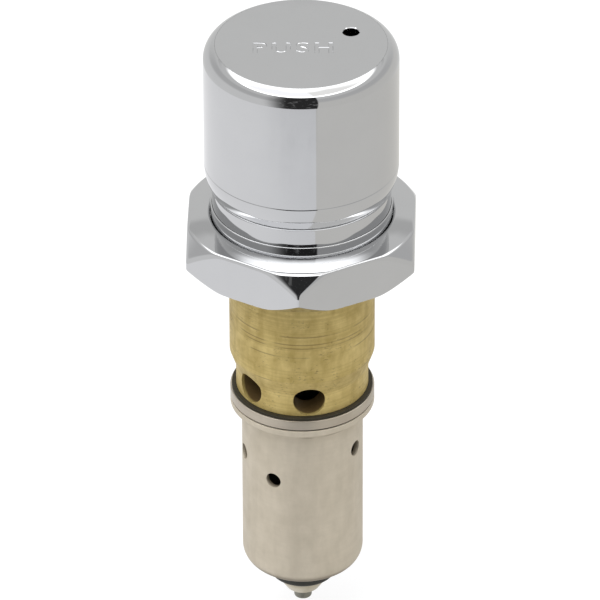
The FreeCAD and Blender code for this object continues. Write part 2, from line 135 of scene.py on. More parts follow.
def rounded(before: Vector, corner: Vector, after: Vector, rounding: float) -> list[Vector]:
    """Replaces one corner of an outline by an arc, with a support point at each side.

    Args:
        before: Point before the corner.
        corner: The corner.
        after: Point after it.
        rounding: Radius of the arc.

    Returns:
        Points along the arc, from the side of before to the side of after.
    """
    to_before, to_after = (before - corner).normalized(), (after - corner).normalized()
    half = to_before.angle(to_after) / 2
    reach = rounding / math.tan(half)
    centre = corner + (to_before + to_after).normalized() * (rounding / math.sin(half))
    start, end = corner + to_before * reach, corner + to_after * reach
    turn = math.pi - 2 * half
    steps = max(4, math.ceil(math.degrees(turn) / ARC_STEP))
    side = 1 if (start - centre).cross(end - centre) > 0 else -1
    points = []
    if (before - start).length > 3 * SUPPORT:
        points.append(start + to_before * SUPPORT)
    for step in range(steps + 1):
        angle = side * turn * step / steps
        spoke = start - centre
        points.append(centre + Vector((
            spoke.x * math.cos(angle) - spoke.y * math.sin(angle),
            spoke.x * math.sin(angle) + spoke.y * math.cos(angle))))
    if (after - end).length > 3 * SUPPORT:
        points.append(end + to_after * SUPPORT)
    return points


def outline(corners: Sequence[Corner], closed: bool) -> list[Vector]:
    """Turns corners into the points of an outline.

    Args:
        corners: Corners in order.
        closed: Whether the last corner joins the first.

    Returns:
        Points of (radius, height) in millimetres.
    """
    flat = [Vector((corner.radius, corner.height)) for corner in corners]
    points: list[Vector] = []
    for i, corner in enumerate(corners):
        inner = closed or 0 < i < len(corners) - 1
        if corner.rounding and inner:
            points += rounded(flat[i - 1], flat[i], flat[(i + 1) % len(flat)], corner.rounding)
        else:
            points.append(flat[i])
    return points


def deselect() -> None:
    """Deselects every object."""
    bpy.ops.object.select_all(action="DESELECT")


def choose(piece: Piece) -> None:
    """Selects one object alone and makes it active."""
    deselect()
    piece.select_set(True)
    bpy.context.view_layer.objects.active = piece


def turned(name: str, points: Sequence[Vector], closed: bool = True, steps: int = 160) -> Piece:
    """Draws an outline by extruding one point, and spins it round the axis.

    Args:
        name: Name of the piece.
        points: Points of (radius, height) in millimetres.
        closed: Whether the last point joins the first.
        steps: Steps of the spin.

    Returns:
        The turned piece.
    """
    deselect()
    bpy.ops.mesh.primitive_plane_add(size=MM)
    piece = bpy.context.active_object
    piece.name = piece.data.name = name
    bpy.ops.object.mode_set(mode="EDIT")
    bpy.ops.mesh.select_all(action="SELECT")
    bpy.ops.mesh.merge(type="CENTER")
    bpy.ops.transform.translate(value=(points[0].x * MM, 0, points[0].y * MM))
    path = [*points, points[0]] if closed else list(points)
    for last, point in zip(path, path[1:]):
        step = (point - last) * MM
        bpy.ops.mesh.extrude_region_move(TRANSFORM_OT_translate={"value": (step.x, 0, step.y)})
    bpy.ops.mesh.select_all(action="SELECT")
    bpy.ops.mesh.remove_doubles(threshold=1e-7)
    bpy.ops.mesh.spin(steps=steps, angle=math.tau, center=(0, 0, 0), axis=(0, 0, 1))
    bpy.ops.mesh.select_all(action="SELECT")
    bpy.ops.mesh.remove_doubles(threshold=1e-7)
    bpy.ops.mesh.normals_make_consistent(inside=False)
    bpy.ops.mesh.select_all(action="DESELECT")
    bpy.ops.object.mode_set(mode="OBJECT")
    return piece


def place(piece: Piece, matrix: Matrix) -> Piece:
    """Moves a piece's mesh, and leaves its object at the origin."""
    piece.data.transform(matrix)
    piece.data.update()
    return piece


def rod(name: str, diameter: float, length: float, matrix: Matrix, sides: int = 96) -> Piece:
    """Makes a round cutting tool.

    Args:
        name: Name of the tool.
        diameter: Diameter in millimetres.
        length: Length in millimetres.
        matrix: Its place, in metres, with the tool's own axis along Z.
        sides: Sides of the tool.

    Returns:
        The tool.
    """
    deselect()
    bpy.ops.mesh.primitive_cylinder_add(vertices=sides, radius=diameter / 2 * MM, depth=length * MM)
    tool = bpy.context.active_object
    tool.name = name
    return place(tool, matrix)


def cross_tool(diameter: float, height: float, azimuth: float, reach: float) -> Piece:
    """Makes a tool that drills right through the axis.

    Args:
        diameter: Diameter of the hole, in millimetres.
        height: Height of its centre.
        azimuth: Azimuth that it points to.
        reach: Half the tool's length.

    Returns:
        The tool.
    """
    turn = Matrix.Rotation(math.radians(azimuth), 4, "Z") @ Matrix.Rotation(math.radians(90), 4, "X")
    return rod("drill", diameter, 2 * reach, Matrix.Translation((0, 0, height * MM)) @ turn)


def cut(piece: Piece, tool: Piece) -> None:
    """Cuts a tool out of a piece and removes the tool."""
    choose(piece)
    modifier = piece.modifiers.new("cut", "BOOLEAN")
    modifier.operation, modifier.solver, modifier.object = "DIFFERENCE", "EXACT", tool
    bpy.ops.object.modifier_apply(modifier=modifier.name)
    bpy.data.objects.remove(tool)


def soften_rims(piece: Piece, inside: Callable[[Vector], bool], width: float) -> None:
    """Bevels the sharp edges that a test picks, such as the rim of a drilled hole.

    Args:
        piece: The piece.
        inside: Says whether the middle of an edge, in millimetres, is on the rim.
        width: Width of the bevel, in millimetres.
    """
    choose(piece)
    bpy.ops.object.mode_set(mode="EDIT")
    bpy.ops.mesh.select_mode(type="EDGE")
    bpy.ops.mesh.select_all(action="DESELECT")
    bpy.ops.mesh.edges_select_sharp(sharpness=math.radians(30))
    bpy.ops.object.mode_set(mode="OBJECT")
    mesh = piece.data
    for edge in mesh.edges:
        if edge.select:
            ends = [mesh.vertices[i].co for i in edge.vertices]
            edge.select = inside((ends[0] + ends[1]) / 2 / MM)
    for vertex in mesh.vertices:
        vertex.select = False
    for polygon in mesh.polygons:
        polygon.select = False
    bpy.ops.object.mode_set(mode="EDIT")
    bpy.ops.mesh.bevel(offset=width * MM, segments=3, profile=0.5, clamp_overlap=True)
    bpy.ops.mesh.select_all(action="DESELECT")
    bpy.ops.mesh.select_mode(type="VERT")
    bpy.ops.object.mode_set(mode="OBJECT")


# Shader helpers


class Bench:
    """Adds nodes to one tree and joins them."""

    def __init__(self, tree: bpy.types.NodeTree) -> None:
        """Keeps the tree."""
        self.tree = tree

    def node(self, kind: str, inputs: dict[int | str, object] | None = None, **settings: object) -> bpy.types.Node:
        """Adds a node.

        Args:
            kind: Its type.
            inputs: Values or sockets for its inputs.
            settings: Its properties.

        Returns:
            The node.
        """
        node = self.tree.nodes.new(kind)
        for key, value in settings.items():
            setattr(node, key, value)
        for key, value in (inputs or {}).items():
            self.feed(node.inputs[key], value)
        return node

    def feed(self, socket: Socket, value: object) -> None:
        """Sets an input to a value, or joins a socket to it."""
        if isinstance(value, bpy.types.NodeSocket):
            self.tree.links.new(value, socket)
        else:
            socket.default_value = value

    def math(self, operation: str, *values: object) -> Socket:
        """Adds a Math node and returns its result."""
        return self.node("ShaderNodeMath", dict(enumerate(values)), operation=operation).outputs[0]

    def ramp(self, value: Socket, low: float, high: float, first: float = 0.0, last: float = 1.0) -> Socket:
        """Maps a value smoothly from one range to another, and keeps it there."""
        inputs = {"Value": value, "From Min": low, "From Max": high, "To Min": first, "To Max": last}
        return self.node("ShaderNodeMapRange", inputs, interpolation_type="SMOOTHSTEP").outputs[0]

    def blend(self, factor: object, first: object, last: object) -> Socket:
        """Mixes two colours."""
        node = self.node("ShaderNodeMix", data_type="RGBA")
        for index, value in ((0, factor), (6, first), (7, last)):
            self.feed(node.inputs[index], (*value, 1.0) if isinstance(value, tuple) and len(value) == 3 else value)
        return node.outputs[2]

    def number(self, factor: object, first: object, last: object) -> Socket:
        """Mixes two numbers."""
        return self.node("ShaderNodeMix", {0: factor, 2: first, 3: last}, data_type="FLOAT").outputs[0]

    def noise(self, vector: object, scale: object, detail: float = 2.0, roughness: float = 0.5) -> Socket:
        """Adds a noise and returns its value."""
        inputs = {"Vector": vector, "Scale": scale, "Detail": detail, "Roughness": roughness}
        return self.node("ShaderNodeTexNoise", inputs).outputs[0]


class Effects:
    """Shader groups that several finishes share, each built once."""

    _built: dict[str, bpy.types.NodeTree] = {}

    @classmethod
    def tree(cls, name: str, inputs: dict[str, str], outputs: dict[str, str]) -> tuple[Bench, Socket, Socket]:
        """Starts a group.

        Args:
            name: Name of the group.
            inputs: Names and socket types of its inputs.
            outputs: Names and socket types of its outputs.

        Returns:
            The bench, the group's input node and its output node.
        """
        tree = bpy.data.node_groups.new(name, "ShaderNodeTree")
        for direction, sockets in (("INPUT", inputs), ("OUTPUT", outputs)):
            for label, kind in sockets.items():
                tree.interface.new_socket(name=label, in_out=direction, socket_type=f"NodeSocket{kind}")
        bench = Bench(tree)
        return bench, bench.node("NodeGroupInput"), bench.node("NodeGroupOutput")

    @classmethod
    def use(cls, bench: Bench, name: str, inputs: dict[str, object]) -> bpy.types.Node:
        """Places a shared group in a material.

        Args:
            bench: The material's bench.
            name: Name of the group, which is also its builder's.
            inputs: Values or sockets for the group's inputs.

        Returns:
            The group's node.
        """
        if name not in cls._built:
            cls._built[name] = getattr(cls, name)()
        node = bench.node("ShaderNodeGroup", node_tree=cls._built[name])
        for label, value in inputs.items():
            bench.feed(node.inputs[label], value)
        return node

    @classmethod
    def mottle(cls) -> bpy.types.NodeTree:
        """Builds soft blotches: uneven tone over the surface, from 0 to 1."""
        bench, source, result = cls.tree(
            "mottle", {"Vector": "Vector", "Scale": "Float", "Contrast": "Float"}, {"Value": "Float"})
        broad = bench.noise(source.outputs["Vector"], source.outputs["Scale"], 5.0, 0.6)
        lifted = bench.math("MULTIPLY_ADD", bench.math("SUBTRACT", broad, 0.5), source.outputs["Contrast"], 0.5)
        bench.feed(result.inputs["Value"], bench.math("MINIMUM", bench.math("MAXIMUM", lifted, 0.0), 1.0))
        return bench.tree

    @classmethod
    def turning(cls) -> bpy.types.NodeTree:
        """Builds lathe marks: fine rings round the axis, on walls and on faces."""
        bench, source, result = cls.tree(
            "turning", {"Vector": "Vector", "Lines": "Float"}, {"Height": "Float", "Shade": "Float"})
        parts = bench.node("ShaderNodeSeparateXYZ", {0: source.outputs["Vector"]})
        across = bench.math("MULTIPLY", parts.outputs["X"], parts.outputs["X"])
        along = bench.math("MULTIPLY_ADD", parts.outputs["Y"], parts.outputs["Y"], across)
        way = bench.math("ADD", bench.math("SQRT", along), parts.outputs["Z"])
        drift = bench.noise(source.outputs["Vector"], 60.0, 1.0)
        way = bench.math("MULTIPLY_ADD", drift, 0.00012, way)
        rings = bench.math("MULTIPLY", way, source.outputs["Lines"])
        fine = bench.node("ShaderNodeTexNoise", {"W": rings, "Scale": 1.0, "Detail": 2.0}, noise_dimensions="1D")
        slow = bench.math("MULTIPLY", rings, 0.11)
        coarse = bench.node("ShaderNodeTexNoise", {"W": slow, "Scale": 1.0, "Detail": 1.0}, noise_dimensions="1D")
        both = bench.math("MULTIPLY_ADD", coarse.outputs[0], 0.8, fine.outputs[0])
        bench.feed(result.inputs["Height"], both)
        bench.feed(result.inputs["Shade"], bench.ramp(both, 0.78, 1.12))
        return bench.tree

    @classmethod
    def streaks(cls) -> bpy.types.NodeTree:
        """Builds streaks along the axis, as a drawing die or running water leaves them."""
        bench, source, result = cls.tree(
            "streaks", {"Vector": "Vector", "Scale": "Float", "Stretch": "Float"}, {"Value": "Float"})
        squeeze = bench.math("DIVIDE", 1.0, source.outputs["Stretch"])
        scale = bench.node("ShaderNodeCombineXYZ", {0: 1.0, 1: 1.0, 2: squeeze})
        drawn = bench.node("ShaderNodeVectorMath", {0: source.outputs["Vector"], 1: scale.outputs[0]},
                           operation="MULTIPLY")
        value = bench.noise(drawn.outputs[0], source.outputs["Scale"], 3.0, 0.55)
        bench.feed(result.inputs["Value"], bench.ramp(value, 0.36, 0.66))
        return bench.tree

    @classmethod
    def specks(cls) -> bpy.types.NodeTree:
        """Builds small dark pits and spots, thick in some places and absent in others."""
        bench, source, result = cls.tree(
            "specks", {"Vector": "Vector", "Scale": "Float", "Cover": "Float"}, {"Mask": "Float"})
        flat = bench.node("ShaderNodeVectorMath", {0: source.outputs["Vector"], 1: (1.0, 1.0, 2.1)},
                          operation="MULTIPLY").outputs[0]
        pits = bench.noise(flat, source.outputs["Scale"], 5.0, 0.68)
        patch = bench.noise(source.outputs["Vector"], bench.math("MULTIPLY", source.outputs["Scale"], 0.2), 3.0)
        gate = bench.math("MULTIPLY_ADD", bench.ramp(patch, 0.40, 0.62), bench.math(
            "MULTIPLY", source.outputs["Cover"], -0.2), 0.74)
        over = bench.math("SUBTRACT", pits, gate)
        bench.feed(result.inputs["Mask"], bench.ramp(over, 0.0, 0.16))
        return bench.tree


def surface(name: str) -> tuple[bpy.types.Material, Bench, bpy.types.Node, Socket]:
    """Starts a material.

    Args:
        name: Name of the material.

    Returns:
        The material, its bench, its shader and the object coordinates.
    """
    material = bpy.data.materials.new(name)
    material.use_nodes = True
    bench = Bench(material.node_tree)
    shader = material.node_tree.nodes["Principled BSDF"]
    return material, bench, shader, bench.node("ShaderNodeTexCoord").outputs["Object"]


def bump(bench: Bench, height: Socket, distance: float, strength: float, below: Socket | None = None) -> Socket:
    """Adds a bump.

    Args:
        bench: The material's bench.
        height: Height from 0 to 1.
        distance: Height of 1, in millimetres.
        strength: Share of the bump.
        below: Normal that it rides on.

    Returns:
        The normal.
    """
    node = bench.node("ShaderNodeBump", {"Height": height, "Distance": distance * MM, "Strength": strength})
    if below is not None:
        bench.feed(node.inputs["Normal"], below)
    return node.outputs[0]


# Finishes


@dataclass(frozen=True)
class PolishedChrome:
    """Bright plating: a clear mirror with faint handling haze and a trace of buffing."""

    name: str = "polished_chrome"
    colour: Colour = (0.562, 0.566, 0.574)
    deep: Colour = (0.545, 0.549, 0.557)
    clear: float = 0.03
    hazy: float = 0.06
    wave: float = 0.004

    def material(self) -> bpy.types.Material:
        """Builds the material."""
        material, bench, shader, place_in = surface(self.name)
        haze = Effects.use(bench, "mottle", {"Vector": place_in, "Scale": 140.0, "Contrast": 2.2}).outputs[0]
        rub = Effects.use(bench, "streaks", {"Vector": place_in, "Scale": 900.0, "Stretch": 9.0}).outputs[0]
        bench.feed(shader.inputs["Base Color"], bench.blend(haze, self.colour, self.deep))
        dull = bench.math("MULTIPLY", haze, rub)
        bench.feed(shader.inputs["Roughness"], bench.number(dull, self.clear, self.hazy))
        shader.inputs["Metallic"].default_value = 1.0
        ripple = bench.noise(place_in, 190.0, 1.0)
        bench.feed(shader.inputs["Normal"], bump(bench, ripple, self.wave, 0.6))
        return material


@dataclass(frozen=True)
class WorkedMetal:
    """Bare metal with lathe marks, scored lines, streaks, blotches and specks, each in its own measure, and painted
    shade: darker inside the bore, and a shade line under the sleeve's flange.
    """

    name: str
    light: Colour
    deep: Colour
    # Colour of real pits and scored lines, and also of painted shade: inside the bore, and the sleeve's line under its
    # flange.
    stain_and_shade: Colour
    smooth: float
    rough: float
    lines: float = 2600.0
    cut_depth: float = 0.006
    cut_shade: float = 0.35
    streak: float = 0.4
    speck: float = 0.0
    speck_scale: float = 900.0
    blotch_scale: float = 160.0
    # Heights of single dark lines: real scored lines, or a painted shade line under a flange.
    marks: tuple[float, ...] = ()
    metallic: float = 1.0
    # Radius in millimetres inside which the colour turns to painted shade, in the bore and the ports.
    bore_shade_radius: float = 0.0

    def score_and_shade_lines(self, bench: Bench, place_in: Socket) -> Socket | None:
        """Adds single dark lines at set heights, broken round the piece: scored lines on the brass, and on the sleeve
        a painted shade line under its flange.

        Args:
            bench: The material's bench.
            place_in: Object coordinates.

        Returns:
            Mask of the lines, or None where there are none.
        """
        if not self.marks:
            return None
        height = bench.node("ShaderNodeSeparateXYZ", {0: place_in}).outputs["Z"]
        patches = bench.ramp(bench.noise(place_in, 130.0, 2.0), 0.44, 0.56)
        total: Socket | float = 0.0
        for mark in self.marks:
            gap = bench.math("ABSOLUTE", bench.math("SUBTRACT", height, mark * MM))
            total = bench.math("ADD", total, bench.ramp(gap, 0.00004, 0.00017, 1.0, 0.0))
        return bench.math("MULTIPLY", total, patches)

    def material(self) -> bpy.types.Material:
        """Builds the material."""
        material, bench, shader, place_in = surface(self.name)
        shader.inputs["Metallic"].default_value = self.metallic
        blotch = Effects.use(bench, "mottle", {
            "Vector": place_in, "Scale": self.blotch_scale, "Contrast": 2.4}).outputs[0]
        turning = Effects.use(bench, "turning", {"Vector": place_in, "Lines": self.lines})
        streak = Effects.use(bench, "streaks", {"Vector": place_in, "Scale": 520.0, "Stretch": 5.0}).outputs[0]
        tone = bench.math("MULTIPLY_ADD", streak, self.streak, bench.math("MULTIPLY", blotch, 1.0 - self.streak))
        colour = bench.blend(tone, self.light, self.deep)
        shade = bench.math("MULTIPLY", turning.outputs["Shade"], self.cut_shade)
        colour = bench.blend(shade, colour, self.deep)
        height = bench.math("MULTIPLY", turning.outputs["Height"], 0.5)
        # Dark lines at the listed heights: real scored lines on the brass; on the sleeve the line is painted shade
        # under its flange.
        marks = self.score_and_shade_lines(bench, place_in)
        if marks is not None:
            colour = bench.blend(bench.math("MULTIPLY", marks, 0.45), colour, self.stain_and_shade)
            height = bench.math("SUBTRACT", height, marks)
        if self.speck:
            specks = Effects.use(bench, "specks", {
                "Vector": place_in, "Scale": self.speck_scale, "Cover": self.speck}).outputs[0]
            colour = bench.blend(bench.math("MULTIPLY", specks, 0.6), colour, self.stain_and_shade)
            height = bench.math("MULTIPLY_ADD", specks, -0.5, height)
        # Painted shade: the colour darkens towards the axis, inside the bore and the ports, where shade falls.
        if self.bore_shade_radius:
            flat = bench.node("ShaderNodeVectorMath", {0: place_in, 1: (1.0, 1.0, 0.0)}, operation="MULTIPLY")
            radius = bench.node("ShaderNodeVectorMath", {0: flat.outputs[0]}, operation="LENGTH").outputs["Value"]
            inner = bench.ramp(radius, (self.bore_shade_radius - 0.5) * MM, self.bore_shade_radius * MM, 0.88, 0.0)
            colour = bench.blend(inner, colour, self.stain_and_shade)
        bench.feed(shader.inputs["Base Color"], colour)
        bench.feed(shader.inputs["Roughness"], bench.number(blotch, self.smooth, self.rough))
        bench.feed(shader.inputs["Normal"], bump(bench, height, self.cut_depth, 0.8))
        return material


@dataclass(frozen=True)
class SoftPart:
    """Rubber, fibre or plastic: a grained dielectric with a bloom in patches."""

    name: str
    colour: Colour
    bloom: Colour
    smooth: float
    rough: float
    grain: float = 0.02
    grain_scale: float = 2400.0

    def material(self) -> bpy.types.Material:
        """Builds the material."""
        material, bench, shader, place_in = surface(self.name)
        blotch = Effects.use(bench, "mottle", {"Vector": place_in, "Scale": 240.0, "Contrast": 2.6}).outputs[0]
        bench.feed(shader.inputs["Base Color"], bench.blend(blotch, self.colour, self.bloom))
        bench.feed(shader.inputs["Roughness"], bench.number(blotch, self.smooth, self.rough))
        grain = bench.noise(place_in, self.grain_scale, 3.0, 0.6)
        bench.feed(shader.inputs["Normal"], bump(bench, grain, self.grain, 0.7))
        return material


FINISHES = {
    Slot.CHROME: PolishedChrome(),
    # Brass: inside 10.75 mm the colour is painted shade, in the bore and the ports.
    Slot.BRASS: WorkedMetal(
        "turned_brass", (0.78, 0.615, 0.245), (0.49, 0.36, 0.11), (0.13, 0.075, 0.03), 0.46, 0.64,
        lines=2300.0, cut_depth=0.014, cut_shade=0.38, streak=0.36, speck=1.08, speck_scale=1500.0,
        blotch_scale=420.0, marks=(-9.4, -10.9, -11.6, -13.4, -18.45), metallic=0.38, bore_shade_radius=10.75),
    Slot.RING: WorkedMetal(
        "ring_nickel", (0.56, 0.505, 0.42), (0.46, 0.405, 0.33), (0.16, 0.13, 0.10), 0.26, 0.38,
        lines=3600.0, cut_depth=0.005, streak=0.2, metallic=0.9),
    # Sleeve: the line at -30.5 mm is a painted shadow under the flange, and inside 10.02 mm the colour is painted
    # shade.
    Slot.SLEEVE: WorkedMetal(
        "sleeve_steel", (0.745, 0.665, 0.535), (0.635, 0.565, 0.445), (0.29, 0.24, 0.17), 0.46, 0.6,
        lines=1500.0, cut_depth=0.004, cut_shade=0.16, streak=0.35, speck=0.3, speck_scale=1500.0,
        blotch_scale=330.0, marks=(-30.5,), metallic=0.42, bore_shade_radius=10.02),
    Slot.RETAINER: WorkedMetal(
        "retainer_nickel", (0.58, 0.53, 0.42), (0.48, 0.43, 0.33), (0.20, 0.17, 0.11), 0.30, 0.44,
        lines=3000.0, streak=0.1, metallic=0.85),
    Slot.STAINLESS: WorkedMetal(
        "stainless_steel", (0.27, 0.265, 0.225), (0.20, 0.195, 0.165), (0.09, 0.085, 0.065), 0.3, 0.42,
        lines=4200.0, cut_depth=0.004, streak=0.2),
    Slot.SPRING: WorkedMetal(
        "spring_steel", (0.42, 0.41, 0.40), (0.33, 0.32, 0.31), (0.14, 0.12, 0.10), 0.28, 0.40,
        lines=900.0, cut_depth=0.002, streak=0.3),
    Slot.RUBBER: SoftPart("black_rubber", (0.028, 0.028, 0.022), (0.05, 0.048, 0.038), 0.48, 0.62),
    Slot.FIBRE: SoftPart("dark_fibre", (0.024, 0.02, 0.011), (0.045, 0.038, 0.02), 0.66, 0.84, grain=0.035),
    Slot.PLASTIC: SoftPart("white_plastic", (0.72, 0.71, 0.67), (0.66, 0.65, 0.60), 0.35, 0.5, grain=0.008),
}


class Dresser:
    """Gives pieces their finish, ties them to their bodies and keeps the record's slots."""

    def __init__(self, frame: dict) -> None:
        """Builds every material once."""
        self.nodes = frame["nodes"]
        self.materials = {slot: finish.material() for slot, finish in FINISHES.items()}

    def finish(self, piece: Piece, body: Body, slot: Slot, nodes: Iterable[str] = (), sharp: float = SHARP) -> Piece:
        """Finishes a new piece.

        Args:
            piece: The piece.
            body: Body that it rides on.
            slot: Material slot that it takes its finish from.
            nodes: CAD nodes that it stands for.
            sharp: Angle in radians past which an edge stays sharp.

        Returns:
            The piece.
        """
        choose(piece)
        bpy.ops.object.shade_smooth_by_angle(angle=sharp)
        piece.data.materials.clear()
        piece.data.materials.append(self.materials[slot])
        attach(piece, body.value)
        if nodes:
            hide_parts(*nodes)
        log.info("%s: %d faces on %s", piece.name, len(piece.data.polygons), body.value)
        return piece

    def dress_nodes(self, kept: dict[str, Slot]) -> None:
        """Gives the CAD nodes that stay their finishes."""
        for name, slot in kept.items():
            node = self.nodes[name]
            node.data.materials.clear()
            node.data.materials.append(self.materials[slot])
            log.info("%s keeps its solid, in %s", name, slot.value)


# Sub-assemblies


@dataclass
class PushButton:
    """Chrome button: crisp edge at the top, seam, convex taper, neck, bore and key hole."""

    radius: float = 15.98
    top: float = 39.6
    dish: float = 0.15
    edge: float = 2.9
    edge_lean: float = 20.0
    seam: float = 17.6
    seam_depth: float = 0.05
    taper_arc: float = 8.8
    taper_foot: float = 13.35
    neck: float = 14.75
    neck_curve: float = 1.1
    crease_step: float = 0.07
    neck_foot: float = 8.6
    bore: float = 13.1
    groove: tuple[float, float, float] = (13.8, 27.0, 28.0)
    shoulder: tuple[float, float] = (12.2, 33.6)
    ceiling: float = 37.6
    hole: float = 2.7
    hole_rim: float = 0.2
    hole_radius: float = 9.0
    hole_azimuth: float = 115.7
    letter_size: float = 4.7
    letter_depth: float = 0.14
    letter_place: tuple[float, float] = (-1.3, -1.2)

    def profile(self) -> list[Vector]:
        """Draws the outline from the axis at the top, down the side and back up the bore."""
        lean = math.radians(self.edge_lean)
        centre = Vector((self.radius - self.edge, self.top - self.edge * math.cos(lean)))
        crease = centre.x + self.edge * math.sin(lean)
        points = [Vector((radius, self.top - self.dish * (1 - (radius / crease) ** 2)))
                  for radius in (0, *np.linspace(1.5, crease - 0.5 * SUPPORT, 12))]
        points.append(Vector((crease - 0.4 * SUPPORT, self.top - self.crease_step)))
        steps = 14
        for step in range(steps + 1):
            angle = lean + (math.pi / 2 - lean) * step / steps
            points.append(centre + Vector((math.sin(angle), math.cos(angle))) * self.edge)
        points.append(Vector((self.radius, centre.y - SUPPORT)))
        points += outline([
            Corner(self.radius, centre.y - 2 * SUPPORT), Corner(self.radius, self.seam + 0.12),
            Corner(self.radius - self.seam_depth, self.seam + 0.03)], closed=False)
        arc = Vector((self.radius - self.taper_arc, self.seam - 0.05))
        sweep = math.asin((arc.y - self.taper_foot) / self.taper_arc)
        sides = [arc + Vector((math.cos(turn), -math.sin(turn))) * self.taper_arc
                 for turn in np.linspace(0, sweep, 13)]
        points += sides[:-1]
        corner_height = self.taper_foot - (sides[-1].x - self.neck) / math.tan(sweep)
        inside = [
            Corner(*sides[-1]), Corner(self.neck, corner_height, self.neck_curve),
            Corner(self.neck, self.neck_foot, 0.15),
            Corner(self.bore, self.neck_foot, 0.15), Corner(self.bore, self.groove[1]),
            Corner(self.groove[0], self.groove[1]), Corner(self.groove[0], self.groove[2]),
            Corner(self.bore, self.groove[2]), Corner(self.bore, self.shoulder[1]), Corner(*self.shoulder),
            Corner(self.shoulder[0], self.ceiling, 0.6), Corner(0, self.ceiling)]
        return points + outline(inside, closed=False)

    def key_hole(self) -> Piece:
        """Makes the tool for the key hole and its broken rim."""
        reach = self.hole / 2
        points = [Vector((0, self.ceiling - 1)), Vector((reach, self.ceiling - 1)),
                  Vector((reach, self.top - self.hole_rim)), Vector((reach + self.hole_rim + 0.5, self.top + 0.5)),
                  Vector((0, self.top + 0.5))]
        tool = turned("key_tool", points, closed=False, steps=64)
        return place(tool, Matrix.Translation(at_azimuth(self.hole_radius, self.hole_azimuth, 0)))

    def letters(self) -> Piece:
        """Makes the tool that engraves the plain word on the top."""
        deselect()
        bpy.ops.object.text_add()
        text = bpy.context.active_object
        text.data.body = "PUSH"
        text.data.align_x, text.data.align_y = "CENTER", "CENTER"
        text.data.size = self.letter_size * MM
        text.data.space_character = 1.3
        text.data.bevel_depth = self.letter_depth * MM
        text.data.bevel_resolution = 2
        text.data.resolution_u = 8
        bpy.ops.object.convert(target="MESH")
        tool = bpy.context.active_object
        choose(tool)
        bpy.ops.object.mode_set(mode="EDIT")
        bpy.ops.mesh.select_all(action="SELECT")
        bpy.ops.mesh.remove_doubles(threshold=1e-7)
        bpy.ops.mesh.normals_make_consistent(inside=False)
        bpy.ops.object.mode_set(mode="OBJECT")
        across, forward = self.letter_place
        return place(tool, Matrix.Translation(Vector((across, forward, self.top - 0.85 * self.dish)) * MM))

    def build(self, dresser: Dresser) -> None:
        """Builds the button."""
        button = turned("button_shell", self.profile(), closed=False, steps=200)
        cut(button, self.key_hole())
        cut(button, self.letters())
        dresser.finish(button, Body.BUTTON, Slot.CHROME, ("push_button",))


